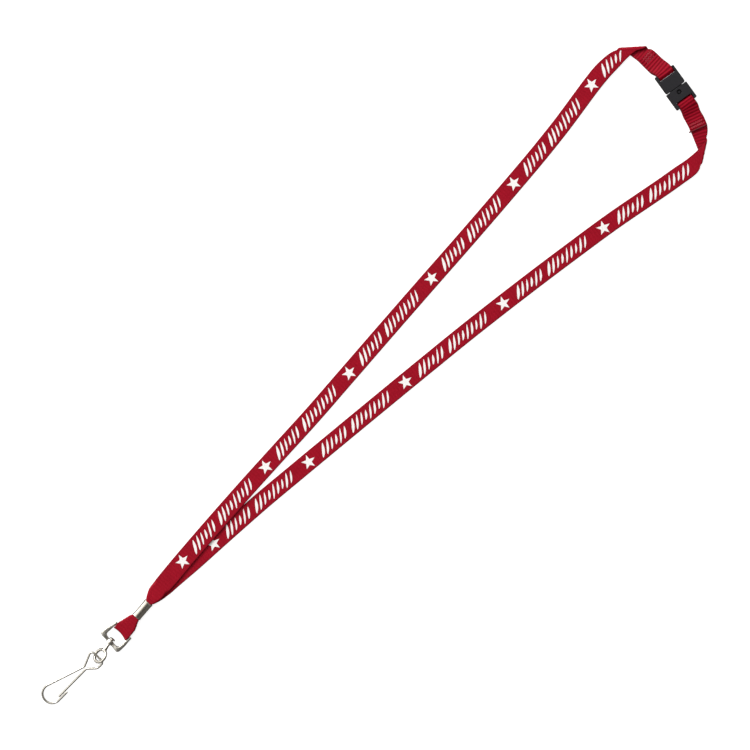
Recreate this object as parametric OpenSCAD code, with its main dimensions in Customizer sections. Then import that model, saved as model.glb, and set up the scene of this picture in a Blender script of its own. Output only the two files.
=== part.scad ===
// Neck lanyard: a flat woven strap, gathered by a metal crimp over a swivel bracket with a
// sprung J-hook, and joined behind the neck by a pull-apart buckle. It lies flat on Z = 0.

/* [Strap] */
// Width of the webbing
strap_w = 10; // [9:0.1:11]
// Thickness of the webbing
strap_t = 0.8; // [0.6:0.05:0.9]

/* [Hook] */
// Diameter of the hook's spring wire
wire_d = 1.2; // [0.9:0.05:1.3]
// Inside radius of the hook's round bend, to the middle of the wire
bend_r = 5.2; // [4.8:0.1:5.3]

/* [Swivel] */
// Mean radius of the swivel ring
ring_r = 3.7; // [3.5:0.05:4]
// Thickness of the swivel ring
ring_d = 1.6; // [1.2:0.1:1.8]
// Diameter of the swivel shank where it runs through the bracket
shank_d = 1.6; // [1.2:0.1:1.8]
// Diameter of the bracket's bar inside the strap loop
bar_d = 1.6; // [1.2:0.1:1.8]

/* [Crimp] */
// Length of the crimp sleeve
crimp_l = 10.4; // [8:0.2:12]
// Width of the crimp sleeve
crimp_w = 4.6; // [4.4:0.1:5.2]
// Height of the crimp sleeve
crimp_h = 4.2; // [4:0.1:4.4]

/* [Buckle] */
// Width of the plug half
plug_w = 12.2; // [11.8:0.1:12.8]
// Width of the socket half
socket_w = 13; // [12.4:0.1:13.6]
// Thickness of both halves
buckle_t = 4; // [3.9:0.1:4.6]
// Diameter of the round window over the latch stud
window_d = 2.7; // [2.3:0.1:3]

/* [Print] */
// Distance from one printed emblem to the next
print_pitch = 69; // [60:1:75]
// Thickness of the printed ink above the webbing
ink_t = 0.06; // [0.03:0.01:0.08]

/* [Hidden] */
$fn = 48;

// Places are given from the upper end of the crimp, +X towards the neck, and are then carried to
// the middle of the footprint.
to_middle = [-166.6, 8.9, 0];
ply_gap = 0.12;

// The webbing's two plies where one lies on the other
floor_z = strap_t / 2;
upper_z = floor_z + strap_t + ply_gap;

// Crimp
crimp_mid = [-5.2, 0.3, crimp_h / 2];
crimp_yaw = 4;
crimp_wall = 0.4;
squeezed_t = 1.4;
squeezed_w = 3.4;
crimp_low_z = crimp_mid[2] - squeezed_t / 2 - 0.05;
crimp_high_z = crimp_mid[2] + squeezed_t / 2 + 0.05;

// Swivel bracket: the bar lies in the strap loop, the base carries the eyelet
bar_pos = [-21.3, -0.05, 1.9];
bracket_yaw = -4;
swivel_pitch = 4.6;
bar_gap = 0.3;
loop_r = bar_d / 2 + bar_gap + strap_t / 2;
base_x = -8.9;
base_t = 1.6;
base_h = 3;
corner_y = 6.2;
corner_r = 1.3;
arm_y = 5.95;
arm_r = 1;
boss_r = 2;
boss_l = 2;
hole_r = 1.25;

// Eyelet: the shank leans in its loose hole
eyelet_pos = [-30.3, 0.5, 2.59];
eyelet_yaw = 7.8;
ring_x = -9.1;
ring_tilt = 42;
head_r = 1.7;
head_x = 1.65;
head_t = 0.9;

// Hook: one bent wire, its places in the plane of the hook
hook_pivot = [-40.6, 0, 3.3];
hook_pitch = -4.05;
hook_tip = [-66.6, -1.6];
hook_end = [-78.5, -1.6];
hook_top = [-78.5, 10.9];
throat_arm = [-49.7, 1.25];
eye_left = [-40.6, 4.9];
eye_right = [-40.6, -4.7];
eye_back = [-45.4, -4.45];
throat_gate = [-50, -0.25];
gate_tip = [-71.7, -0.2];
gate_gap = 0.15;
wire_sides = 12;
bend_step = 18;

// Buckle: the local +Y runs from the parting line to the plug's outer end
buckle_pos = [404.25, -8.6, 0];
buckle_yaw = -9.8;
parting_gap = 0.15;
plug_l = 11.4;
socket_l = 10.4;
plug_notch_y = 7.9;
socket_notch_y = 6.95;
notch_w = 10;
slot_bar_r = 0.7;
slot_bar_l = 0.7;
slot_mid_z = buckle_t / 2;
wrap_r = slot_bar_r + 0.15 + strap_t / 2;
plug_wrap_y = plug_notch_y + 0.05 + strap_t / 2 + wrap_r;
socket_wrap_y = socket_notch_y + 0.05 + strap_t / 2 + wrap_r;
tongue_l = 5.7;
tongue_w = 8;
tongue_t = 1.4;
cavity_l = 6;
cavity_gap = 0.2;
stud_r = 0.75;
stud_h = 0.6;
window_y = 2.7;
edge_r = 0.6;
slot_strap_w = 9.4;

// ---------------------------------------------------------------- ribbon geometry

function unit(v) = v / norm(v);
function mix(a, b, k) = a + (b - a) * k;

// A place on the buckle, from its own axes
function on_buckle(x, y, z) = buckle_pos
    + [x * cos(buckle_yaw) - y * sin(buckle_yaw), x * sin(buckle_yaw) + y * cos(buckle_yaw), z];

// A ribbon station is [left edge, right edge, thickness]
function square_station(x, y, z, w, t, yaw) =
    let (half = w / 2 * [-sin(yaw), cos(yaw), 0])
    [[x, y, z] + half, [x, y, z] - half, t];
function edge_station(left, right, z, t = strap_t) =
    [[left[0], left[1], z], [right[0], right[1], z], t];
function buckle_station(x, y, z, w, side = 1) =
    [on_buckle(x - side * w / 2, y, z), on_buckle(x + side * w / 2, y, z), strap_t];

// The heading of a route at point i, and the stations square to it
function heading(route, i) =
    let (a = route[max(i - 1, 0)], b = route[min(i + 1, len(route) - 1)])
    atan2(b[1] - a[1], b[0] - a[0]);
function route_stations(route) =
    [for (i = [0 : len(route) - 1])
        let (p = route[i])
        square_station(p[0], p[1], p[2], p[3], p[4], heading(route, i))];

// Stations round a fold: a half turn of radius r about an axis along the edge from a to b
function fold_stations(a, b, low_z, r, steps) =
    let (along = unit([b[0] - a[0], b[1] - a[1], 0]))
    let (out = [-along[1], along[0], 0])
    [for (k = [0 : steps])
        let (turn = 180 * k / steps)
        let (move = out * r * sin(turn) + [0, 0, low_z + r + r * cos(turn)])
        [[a[0], a[1], 0] + move, [b[0], b[1], 0] + move, strap_t]];

function station_mid(s) = (s[0] + s[1]) / 2;
function station_up(stations, i) =
    let (before = station_mid(stations[max(i - 1, 0)]))
    let (after = station_mid(stations[min(i + 1, len(stations) - 1)]))
    let (across = unit(stations[i][1] - stations[i][0]))
    unit(cross(across, after - before));

// Eight corners of the ribbon's section, with eased edges
function section(s, up) =
    let (across = unit(s[1] - s[0]), h = s[2] / 2, ease = s[2] * 0.3)
    [s[0] + across * ease + up * h,
     s[1] - across * ease + up * h,
     s[1] + up * h * 0.4,
     s[1] - up * h * 0.4,
     s[1] - across * ease - up * h,
     s[0] + across * ease - up * h,
     s[0] - up * h * 0.4,
     s[0] + up * h * 0.4];

// The ribbon from one station of a strap to another
module ribbon(stations, from, to) {
    n = to - from + 1;
    points = [for (i = [from : to]) each section(stations[i], station_up(stations, i))];
    walls = [for (i = [0 : n - 2]) for (j = [0 : 7])
        let (a = i * 8 + j, b = i * 8 + (j + 1) % 8)
        each [[a, b, a + 8], [b, b + 8, a + 8]]];
    first = [for (j = [7 : -1 : 0]) j];
    last = [for (j = [0 : 7]) (n - 1) * 8 + j];
    polyhedron(points = points, faces = concat([first], walls, [last]), convexity = 10);
}

// ---------------------------------------------------------------- strap routes

// Middle of the strap as [x, y, z, width, thickness]
left_route = [
    [-5.2, 0.3, crimp_high_z, squeezed_w, squeezed_t],
    [0.2, 0.68, crimp_high_z, squeezed_w + 0.1, squeezed_t],
    [3.2, 1.1, 2.6, 6.2, 1.1],
    [6.6, 1.8, 2.1, 8.6, strap_t],
    [11, 2.2, 1.65, 9.5, strap_t],
    [17, 2.6, upper_z + 0.05, strap_w, strap_t],
    [33, 3.6, upper_z, strap_w, strap_t],
    [50, 4.6, upper_z, strap_w, strap_t],
    [66, 5.5, upper_z, strap_w, strap_t],
    [84, 6.4, upper_z, strap_w, strap_t],
    [99, 7, 1.05, strap_w, strap_t],
    [115, 7.6, 0.65, strap_w, strap_t],
    [132, 8.2, floor_z, strap_w, strap_t],
    [165, 10.1, floor_z, strap_w, strap_t],
    [198, 12.1, floor_z, strap_w, strap_t],
    [231, 14, floor_z, strap_w, strap_t],
    [264, 15.8, floor_z, strap_w, strap_t],
    [297, 17.9, floor_z, strap_w, strap_t],
    [330, 20.4, floor_z, strap_w, strap_t],
    [347, 22.2, floor_z, strap_w, strap_t],
    [363, 24.4, 0.5, strap_w, strap_t],
    [374, 25.9, 0.8, strap_w, strap_t],
    [383, 26.7, 1.3, strap_w, strap_t]];

right_route = [
    [-5.2, 0.3, crimp_low_z, squeezed_w, squeezed_t],
    [0.2, 0.68, crimp_low_z, squeezed_w + 0.1, squeezed_t],
    [3.2, 0.5, 1, 6, 1.1],
    [6.6, 0.6, 0.7, 8.6, strap_t],
    [11, 0.4, 0.5, 9.5, strap_t],
    [17, 0.2, floor_z, strap_w, strap_t],
    [33, -1.2, floor_z, strap_w, strap_t],
    [50, -2.3, floor_z, strap_w, strap_t],
    [66, -3.4, floor_z, strap_w, strap_t],
    [83, -4.7, floor_z, strap_w, strap_t],
    [107, -7.1, floor_z, strap_w, strap_t],
    [132, -9.7, floor_z, strap_w, strap_t],
    [165, -13.2, floor_z, strap_w, strap_t],
    [198, -16.8, floor_z, strap_w, strap_t],
    [231, -20.6, floor_z, strap_w, strap_t],
    [264, -25, floor_z, strap_w, strap_t],
    [297, -29.9, floor_z, strap_w, strap_t],
    [330, -35.3, floor_z, strap_w, strap_t],
    [352, -39.7, floor_z, strap_w, strap_t]];

// The right leg is carried on past the parting plane by the socket's side of the strap
right_end_heading = -11.3;
leg_joint_gap = 0.3;

// Radius of the middle of the strap where it folds under
fold_r = 0.5;
folded_z = floor_z + 2 * fold_r;

// Left corner: the leg turns under along a slanted fold
left_corner = concat(
    [edge_station([390, 31.3], [391.2, 21.9], folded_z),
     edge_station([393.6, 30.6], [398.6, 22], folded_z),
     edge_station([395.9, 29.8], [404, 21.2], folded_z)],
    fold_stations([397.3, 28.7], [409.2, 18.6], floor_z, fold_r, 6),
    [edge_station([397.9, 27.4], [409.7, 17.8], floor_z)]);
left_neck = concat(
    [edge_station([399, 24.8], [410.2, 16.9], floor_z),
     edge_station([400, 21.4], [410.5, 15.7], 0.8),
     edge_station([400.4, 17.6], [410.7, 14.2], upper_z),
     edge_station([400.6, 12.2], [410.8, 11.2], upper_z),
     edge_station([400.7, 8.2], [410.8, 7.6], 1.8),
     buckle_station(-0.4, 13.6, 2.7, 9.9),
     buckle_station(0, 11.4, 3.2, 9.6),
     buckle_station(0, plug_wrap_y, slot_mid_z + wrap_r, slot_strap_w)],
    [for (turn = [30 : 30 : 60])
        buckle_station(0, plug_wrap_y - wrap_r * sin(turn), slot_mid_z + wrap_r * cos(turn),
            slot_strap_w)]);
left_tail = concat(
    [for (turn = [90 : 30 : 180])
        buckle_station(0, plug_wrap_y - wrap_r * sin(turn), slot_mid_z + wrap_r * cos(turn),
            slot_strap_w)],
    [buckle_station(0, 11.4, 0.72, 9.6),
     edge_station([400.7, 6.4], [410.8, 5.4], 0.5),
     edge_station([400.6, 10], [410.8, 9.4], floor_z),
     edge_station([400.7, 16.6], [410.9, 14], floor_z)]);
left_strap = concat(route_stations(left_route), left_corner, left_neck, left_tail);
left_neck_at = len(left_route) + len(left_corner);
left_tail_at = left_neck_at + len(left_neck);

// Right corner: the leg turns under along the opposite slant
right_corner = concat(
    [square_station(352 + leg_joint_gap, -39.7 - leg_joint_gap * 0.2, floor_z, strap_w, strap_t,
        right_end_heading),
     square_station(363, -41.9, 0.5, strap_w, strap_t, -10.8),
     square_station(371.5, -43.4, 0.9, strap_w, strap_t, -10.4),
     edge_station([381.6, -40.3], [377.4, -49.4], 1.3),
     edge_station([387.9, -40.9], [380.2, -49.3], folded_z),
     edge_station([391.8, -40.9], [382.3, -48.6], folded_z)],
    fold_stations([395.4, -40.2], [384.3, -47.2], floor_z, fold_r, 6),
    [edge_station([397.6, -39.3], [385.6, -45.4], floor_z)]);
right_neck = concat(
    [edge_station([400.3, -37.3], [388.2, -41.6], floor_z),
     edge_station([401.9, -35.5], [390.6, -37.2], floor_z),
     edge_station([402.9, -33.6], [392.8, -32.2], floor_z),
     edge_station([404.4, -29.4], [394.7, -27], floor_z),
     edge_station([405.9, -24.6], [396, -22.6], 0.5),
     buckle_station(0, -11.6, 0.7, 9.7, -1),
     buckle_station(0, -socket_wrap_y, slot_mid_z - wrap_r, slot_strap_w, -1)],
    [for (turn = [30 : 30 : 60])
        buckle_station(0, -socket_wrap_y + wrap_r * sin(turn), slot_mid_z - wrap_r * cos(turn),
            slot_strap_w, -1)]);
right_tail = concat(
    [for (turn = [90 : 30 : 180])
        buckle_station(0, -socket_wrap_y + wrap_r * sin(turn), slot_mid_z - wrap_r * cos(turn),
            slot_strap_w, -1)],
    [buckle_station(0, -11.4, 3.1, 9.6, -1),
     buckle_station(-0.1, -13.8, 2.3, 9.9, -1),
     edge_station([405.2, -26.4], [395.5, -24], upper_z + 0.1),
     edge_station([404, -30.6], [394.3, -28], upper_z),
     edge_station([402.2, -34.9], [392.8, -31.2], upper_z)]);
right_strap = concat(right_corner, right_neck, right_tail);
right_neck_at = len(right_corner);
right_tail_at = right_neck_at + len(right_neck);

module placed() translate(to_middle) children();

module strap_part(stations, from, to) color("firebrick") placed() ribbon(stations, from, to);

module strap_leg_left() strap_part(left_strap, 0, left_neck_at);

module strap_neck_left() strap_part(left_strap, left_neck_at, left_tail_at);

module strap_tail_left() strap_part(left_strap, left_tail_at, len(left_strap) - 1);

module strap_leg_right() strap_part(route_stations(right_route), 0, len(right_route) - 1);

module strap_corner_right() strap_part(right_strap, 0, right_neck_at);

module strap_neck_right() strap_part(right_strap, right_neck_at, right_tail_at);

module strap_tail_right() strap_part(right_strap, right_tail_at, len(right_strap) - 1);

module strap_hook_loop() {
    wrap_n = 6;
    down = [
        square_station(-5.2, 0.3, crimp_high_z, squeezed_w, squeezed_t, 180 + crimp_yaw),
        square_station(-10.6, -0.08, crimp_high_z, squeezed_w + 0.1, squeezed_t, 180 + crimp_yaw),
        square_station(-12.2, 0.15, 2.95, 6.8, 1.1, 180),
        square_station(-14.2, 0, 3.05, 8.4, strap_t, 180),
        square_station(-17, -0.1, 3.25, 9.6, strap_t, 179),
        square_station(-19.4, -0.1, 3.38, 9.9, strap_t, 177)];
    wrap = [for (k = [0 : wrap_n])
        let (turn = 90 + 180 * k / wrap_n)
        square_station(bar_pos[0] + loop_r * cos(turn), bar_pos[1], bar_pos[2] + loop_r * sin(turn),
            9.5, strap_t, 180 + bracket_yaw)];
    back = [
        square_station(-19.4, -0.1, floor_z + 0.02, 9.9, strap_t, 177),
        square_station(-17, -0.1, 0.5, 9.6, strap_t, 179),
        square_station(-14.2, 0, 0.7, 8.4, strap_t, 180),
        square_station(-12.2, 0.15, 1, 6.8, 1.1, 180),
        square_station(-10.6, -0.08, crimp_low_z, squeezed_w + 0.1, squeezed_t, 180 + crimp_yaw),
        square_station(-5.2, 0.3, crimp_low_z, squeezed_w, squeezed_t, 180 + crimp_yaw)];
    loop = concat(down, wrap, back);
    strap_part(loop, 0, len(loop) - 1);
}

// ---------------------------------------------------------------- stitching

// A bar tack: short threads lying across the upper ply, in two rows
module bar_tack(at, yaw, rows, per_row) {
    thread_d = 0.3;
    thread_l = 1.2;
    step = 1.1;
    translate([at[0], at[1], at[2] + thread_d * 0.2])
        rotate([0, 0, yaw])
            for (row = [0 : rows - 1])
                for (i = [0 : per_row - 1])
                    translate([(row - (rows - 1) / 2) * 2.1, (i - (per_row - 1) / 2) * step, 0])
                        rotate([0, 90, 35 * (row % 2 == 0 ? 1 : -1)])
                            cylinder(h = thread_l, d = thread_d, center = true, $fn = 16);
}

module stitching_left() {
    color("darkred") placed() bar_tack([405.6, 13.4, upper_z + floor_z], 92, 2, 6);
}

module stitching_right() {
    color("darkred") placed() bar_tack([398.6, -30.7, upper_z + floor_z], 70, 2, 6);
}

// ---------------------------------------------------------------- print

// Where the print lies: the emblems' places along each leg, from the first one
left_emblem_x = 29.2;
right_emblem_x = 47.8;
left_emblems = 6;
right_emblems = 5;
stroke_lean = 34;
stroke_w = 1;
stroke_step = 3.1;
stroke_first = 10.2;
word_strokes = [6, 9];
word_gap = 2.6;

// A route's place at x, as [point on the upper face, heading, slope]
function segment(route, x) = [for (i = [1 : len(route) - 1]) if (route[i][0] >= x) i][0];
function route_place(route, x) =
    let (i = segment(route, x), a = route[i - 1], b = route[i])
    let (p = mix(a, b, (x - a[0]) / (b[0] - a[0])))
    [[p[0], p[1], p[2] + p[4] / 2], atan2(b[1] - a[1], b[0] - a[0]),
     -atan2(b[2] - a[2], b[0] - a[0])];

module on_route(route, x) {
    place = route_place(route, x);
    translate(place[0])
        rotate([0, place[2], place[1]])
            translate([0, 0, -0.02])
                children();
}

// A leaning brush stroke, taller and shorter in turn
module stroke(tall) {
    linear_extrude(ink_t + 0.02)
        polygon([[-tall / 2 * tan(stroke_lean) - stroke_w / 2, -tall / 2],
                 [-tall / 2 * tan(stroke_lean) + stroke_w / 2, -tall / 2],
                 [tall / 2 * tan(stroke_lean) + stroke_w / 2, tall / 2],
                 [tall / 2 * tan(stroke_lean) - stroke_w / 2, tall / 2]]);
}

function stroke_tall(i) =
    strap_w * (0.45 + 0.12 * ((i * 2) % 3) + (i == 0 || i == word_strokes[0] ? 0.22 : 0));

// Two groups of strokes after an emblem, as far as they fall between x_start and x_end
module script_run(route, emblem_x, x_start, x_end) {
    for (i = [0 : word_strokes[0] + word_strokes[1] - 1]) {
        x = emblem_x + stroke_first + i * stroke_step + (i >= word_strokes[0] ? word_gap : 0);
        if (x > x_start && x < x_end) on_route(route, x) stroke(stroke_tall(i));
    }
}

// A plain five-pointed star
module star() {
    star_r = 4.1;
    inner_r = 1.7;
    linear_extrude(ink_t + 0.02)
        polygon([for (i = [0 : 9])
            let (r = i % 2 == 0 ? star_r : inner_r)
            r * [cos(i * 36), sin(i * 36)]]);
}

// The legs' routes carried on over the flat part of each corner
left_print_route = concat(left_route, [[390.6, 26.6, folded_z, strap_w, strap_t],
                                       [396.1, 26.3, folded_z, strap_w, strap_t]]);
right_print_route = [[352.3, -39.76, floor_z, strap_w, strap_t],
                     [363, -41.9, 0.5, strap_w, strap_t],
                     [371.5, -43.4, 0.9, strap_w, strap_t],
                     [379.5, -44.85, 1.3, strap_w, strap_t],
                     [384.05, -45.1, folded_z, strap_w, strap_t]];

module print_script_left() {
    color("white") placed()
        for (k = [0 : left_emblems - 1])
            script_run(left_print_route, left_emblem_x + k * print_pitch, 0, 394);
}

module print_script_right() {
    color("white") placed()
        for (k = [0 : right_emblems - 1])
            script_run(right_route, right_emblem_x + k * print_pitch, 0, 350);
}

module print_script_corner() {
    color("white") placed()
        script_run(right_print_route, right_emblem_x + (right_emblems - 1) * print_pitch, 354, 382);
}

module print_emblems_left() {
    color("white") placed()
        for (k = [0 : left_emblems - 1])
            on_route(left_route, left_emblem_x + k * print_pitch) star();
}

module print_emblems_right() {
    color("white") placed()
        for (k = [0 : right_emblems - 1])
            on_route(right_route, right_emblem_x + k * print_pitch) star();
}

// ---------------------------------------------------------------- crimp

// A tube with flattened sides, along X
module sleeve(w, h, l) {
    rotate([90, 0, 90])
        linear_extrude(l, center = true) {
            for (side = [-1, 1]) translate([side * (w - h) / 2, 0]) circle(d = h);
            square([w - h, h], center = true);
        }
}

module crimp_sleeve() {
    color("silver") placed() translate(crimp_mid) rotate([0, 0, crimp_yaw])
        difference() {
            sleeve(crimp_w, crimp_h, crimp_l);
            sleeve(crimp_w - 2 * crimp_wall, crimp_h - 2 * crimp_wall, crimp_l + 1);
        }
}

// ---------------------------------------------------------------- swivel

module at_bracket() {
    translate(bar_pos) rotate([0, 0, bracket_yaw]) rotate([0, swivel_pitch, 0]) children();
}

module at_eyelet() {
    translate(eyelet_pos) rotate([0, 0, eyelet_yaw]) rotate([0, swivel_pitch, 0]) children();
}

// Cast frame: a round bar, two flattened arms, and a base with a boss
module swivel_bracket() {
    color("silver") placed() at_bracket()
        difference() {
            union() {
                rotate([90, 0, 0]) cylinder(h = 2 * arm_y, d = bar_d, center = true);
                for (side = [-1, 1])
                    hull() {
                        translate([0, side * arm_y, 0]) cylinder(h = 2, r = arm_r, center = true, $fn = 24);
                        translate([base_x, side * corner_y, 0])
                            cylinder(h = base_h, r = corner_r, center = true, $fn = 32);
                    }
                translate([base_x, 0, 0]) cube([base_t, 2 * corner_y, base_h], center = true);
                translate([base_x, 0, 0]) rotate([0, 90, 0]) cylinder(h = boss_l, r = boss_r, center = true);
            }
            translate([base_x, 0, 0]) rotate([0, 90, 0]) cylinder(h = boss_l + 2, r = hole_r, center = true);
        }
}

// Headed shank that flares into a ring
module swivel_eyelet() {
    color("silver") placed() at_eyelet() {
        translate([-2.2, 0, 0]) rotate([0, 90, 0]) cylinder(h = head_x + 2.4, d = shank_d);
        translate([ring_x + ring_r - 0.2, 0, 0]) rotate([0, 90, 0])
            cylinder(h = -2.1 - ring_x - ring_r + 0.2, r1 = 1.35, r2 = shank_d / 2);
        translate([head_x, 0, 0]) rotate([0, 90, 0]) cylinder(h = head_t, r1 = head_r, r2 = head_r - 0.6);
        translate([ring_x, 0, 0]) rotate([-ring_tilt, 0, 0])
            rotate_extrude() translate([ring_r, 0]) circle(d = ring_d);
    }
}

// ---------------------------------------------------------------- hook

module at_hook() {
    translate(hook_pivot) rotate([0, hook_pitch, 0]) translate([-hook_pivot[0], 0, 0]) children();
}

// Wire bent through corners given as [point, bend radius]; the first and last are its ends
function turn_of(a, b, c) =
    let (u = unit(b - a), v = unit(c - b))
    atan2(u[0] * v[1] - u[1] * v[0], u * v);

// Places along one bend as [point, heading], from where it starts to where it ends
function bend_places(a, b, c, r) =
    let (turn = turn_of(a, b, c), way = unit(b - a), from = atan2(way[1], way[0]))
    let (side = sign(turn), inward = side * [-way[1], way[0]])
    let (centre = b - way * r * tan(abs(turn) / 2) + inward * r)
    let (steps = ceil(abs(turn) / bend_step))
    [for (k = [0 : steps])
        let (now = from + turn * k / steps)
        [centre + side * r * [sin(now), -cos(now)], now]];

function wire_places(path) =
    let (n = len(path), first = path[1][0] - path[0][0], last = path[n - 1][0] - path[n - 2][0])
    concat([[path[0][0], atan2(first[1], first[0])]],
           [for (i = [1 : n - 2]) each bend_places(path[i - 1][0], path[i][0], path[i + 1][0], path[i][1])],
           [[path[n - 1][0], atan2(last[1], last[0])]]);

module bent_wire(path, d) {
    places = wire_places(path);
    n = len(places);
    points = [for (p = places) for (j = [0 : wire_sides - 1])
        let (turn = 360 * j / wire_sides, reach = d / 2 * cos(turn))
        [p[0][0] - reach * sin(p[1]), p[0][1] + reach * cos(p[1]), d / 2 * sin(turn)]];
    walls = [for (i = [0 : n - 2]) for (j = [0 : wire_sides - 1])
        let (a = i * wire_sides + j, b = i * wire_sides + (j + 1) % wire_sides)
        each [[a, a + wire_sides, b], [b, a + wire_sides, b + wire_sides]]];
    first = [for (j = [0 : wire_sides - 1]) j];
    last = [for (j = [wire_sides - 1 : -1 : 0]) (n - 1) * wire_sides + j];
    polyhedron(points = points, faces = concat([first], walls, [last]), convexity = 10);
}

module hook_wire() {
    last_way = unit(throat_gate - eye_back);
    path = [[hook_tip, 0], [hook_end, bend_r], [hook_top, bend_r], [throat_arm, 2],
            [eye_left, 1.6], [eye_right, 1.8], [eye_back, 1.5],
            [throat_gate - last_way * (wire_d / 2 + gate_gap), 0]];
    color("silver") placed() at_hook() bent_wire(path, wire_d);
}

// Straight arm with round ends, turned about its own length
module hook_gate() {
    run = gate_tip - throat_gate;
    color("silver") placed() at_hook()
        translate([throat_gate[0], throat_gate[1], 0])
            rotate([0, 0, atan2(run[1], run[0])])
                rotate([0, 90, 0])
                    rotate_extrude()
                        intersection() {
                            union() {
                                circle(d = wire_d);
                                translate([0, norm(run)]) circle(d = wire_d);
                                translate([-wire_d / 2, 0]) square([wire_d, norm(run)]);
                            }
                            translate([0, -wire_d]) square([wire_d, norm(run) + 2 * wire_d]);
                        }
}

// ---------------------------------------------------------------- buckle

module at_buckle() {
    translate(buckle_pos) rotate([0, 0, buckle_yaw]) children();
}

// Block from y0 to y1 with round corners at the far end
module half_block(w, y0, y1) {
    linear_extrude(buckle_t) {
        translate([-w / 2, y0]) square([w, y1 - y0 - edge_r]);
        translate([-w / 2 + edge_r, y0]) square([w - 2 * edge_r, y1 - y0]);
        for (side = [-1, 1]) translate([side * (w / 2 - edge_r), y1 - edge_r]) circle(r = edge_r);
    }
}

// Round-edged bar across a notch, centred on y
module slot_bar(y) {
    for (end = [-1, 1])
        translate([0, y + end * slot_bar_l / 2, slot_mid_z]) rotate([0, 90, 0])
            cylinder(h = notch_w + 0.4, r = slot_bar_r, center = true);
    translate([0, y, slot_mid_z]) cube([notch_w + 0.4, slot_bar_l, 2 * slot_bar_r], center = true);
}

module buckle_plug() {
    bar_y = plug_wrap_y + slot_bar_l / 2;
    color("dimgray") placed() at_buckle() {
        difference() {
            half_block(plug_w, parting_gap, plug_l);
            translate([-notch_w / 2, plug_notch_y, -1]) cube([notch_w, plug_l, buckle_t + 2]);
            for (side = [-1, 1])
                translate([side * plug_w / 2, parting_gap, -1]) rotate([0, 0, 45])
                    cube([0.9, 0.9, 2 * buckle_t + 4], center = true);
        }
        slot_bar(bar_y);
        translate([-tongue_w / 2, -tongue_l, slot_mid_z - tongue_t / 2])
            cube([tongue_w, tongue_l + 1, tongue_t]);
        translate([0, -window_y, slot_mid_z]) cylinder(h = tongue_t / 2 + stud_h, r = stud_r);
    }
}

module buckle_socket() {
    bar_y = socket_wrap_y + slot_bar_l / 2;
    cavity_h = tongue_t + 2 * cavity_gap;
    groove_w = 2 * stud_r + 2 * cavity_gap;
    color("dimgray") placed() at_buckle() {
        difference() {
            mirror([0, 1, 0]) half_block(socket_w, parting_gap, socket_l);
            translate([-notch_w / 2, -socket_l - 1, -1])
                cube([notch_w, socket_l - socket_notch_y + 1, buckle_t + 2]);
            translate([-tongue_w / 2 - cavity_gap, -cavity_l, slot_mid_z - cavity_h / 2])
                cube([tongue_w + 2 * cavity_gap, cavity_l + 1, cavity_h]);
            translate([-groove_w / 2, -window_y, slot_mid_z])
                cube([groove_w, window_y + 1, tongue_t / 2 + stud_h + cavity_gap]);
            translate([0, -window_y, slot_mid_z]) cylinder(h = buckle_t, d = window_d);
        }
        slot_bar(-bar_y);
    }
}

strap_leg_left();
strap_leg_right();
strap_hook_loop();
strap_neck_left();
strap_tail_left();
strap_corner_right();
strap_neck_right();
strap_tail_right();
stitching_left();
stitching_right();
print_script_left();
print_script_right();
print_script_corner();
print_emblems_left();
print_emblems_right();
crimp_sleeve();
swivel_bracket();
swivel_eyelet();
hook_wire();
hook_gate();
buckle_plug();
buckle_socket();
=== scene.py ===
"""Looks of a neck lanyard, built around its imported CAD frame.

The webbing is one flat strap swept along the route of the CAD strap, with its cross ribs, the
edges folded under where the crimp gathers it, and the print lying on it as a thin film of ink.
Lengths in the tables below are millimetres, from the upper end of the crimp as in the CAD source;
metres() carries them to the shared frame.
"""
import math

import bpy
import numpy as np
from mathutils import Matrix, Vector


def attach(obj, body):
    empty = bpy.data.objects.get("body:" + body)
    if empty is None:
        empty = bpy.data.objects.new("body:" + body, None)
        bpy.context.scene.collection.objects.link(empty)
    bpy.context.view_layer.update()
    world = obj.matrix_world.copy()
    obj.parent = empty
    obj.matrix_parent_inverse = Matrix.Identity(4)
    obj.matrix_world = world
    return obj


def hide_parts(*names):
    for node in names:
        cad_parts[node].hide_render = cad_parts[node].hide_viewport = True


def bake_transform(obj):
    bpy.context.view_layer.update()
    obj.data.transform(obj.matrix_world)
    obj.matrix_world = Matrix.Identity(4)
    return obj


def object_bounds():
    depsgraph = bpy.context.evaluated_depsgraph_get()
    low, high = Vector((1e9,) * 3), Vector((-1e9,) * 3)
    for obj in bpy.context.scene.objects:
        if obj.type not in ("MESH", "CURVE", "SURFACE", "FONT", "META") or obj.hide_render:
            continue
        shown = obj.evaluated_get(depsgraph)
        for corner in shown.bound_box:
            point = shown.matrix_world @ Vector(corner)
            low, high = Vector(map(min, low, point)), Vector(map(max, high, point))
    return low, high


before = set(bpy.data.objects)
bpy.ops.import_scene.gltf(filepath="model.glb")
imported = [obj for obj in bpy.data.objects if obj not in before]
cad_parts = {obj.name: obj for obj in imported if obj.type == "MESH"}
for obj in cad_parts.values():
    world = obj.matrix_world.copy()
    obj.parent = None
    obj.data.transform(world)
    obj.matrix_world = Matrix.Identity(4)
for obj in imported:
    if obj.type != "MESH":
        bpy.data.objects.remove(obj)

CAD_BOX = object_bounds()

MM = 0.001
TO_MIDDLE = np.array([-166.6, 8.9, 0.0])


def metres(points):
    """Places given in millimetres from the crimp, in metres in the shared frame."""
    return (np.asarray(points, float) + TO_MIDDLE) * MM


# ---------------------------- scene and shader helpers

def add_object(name, data):
    made = bpy.data.objects.new(name, data)
    bpy.context.scene.collection.objects.link(made)
    return made


def set_sockets(made, **values):
    """Constant values on a node's own sockets; an underscore stands for a space."""
    for key, value in values.items():
        made.inputs[key.replace("_", " ")].default_value = value


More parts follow.
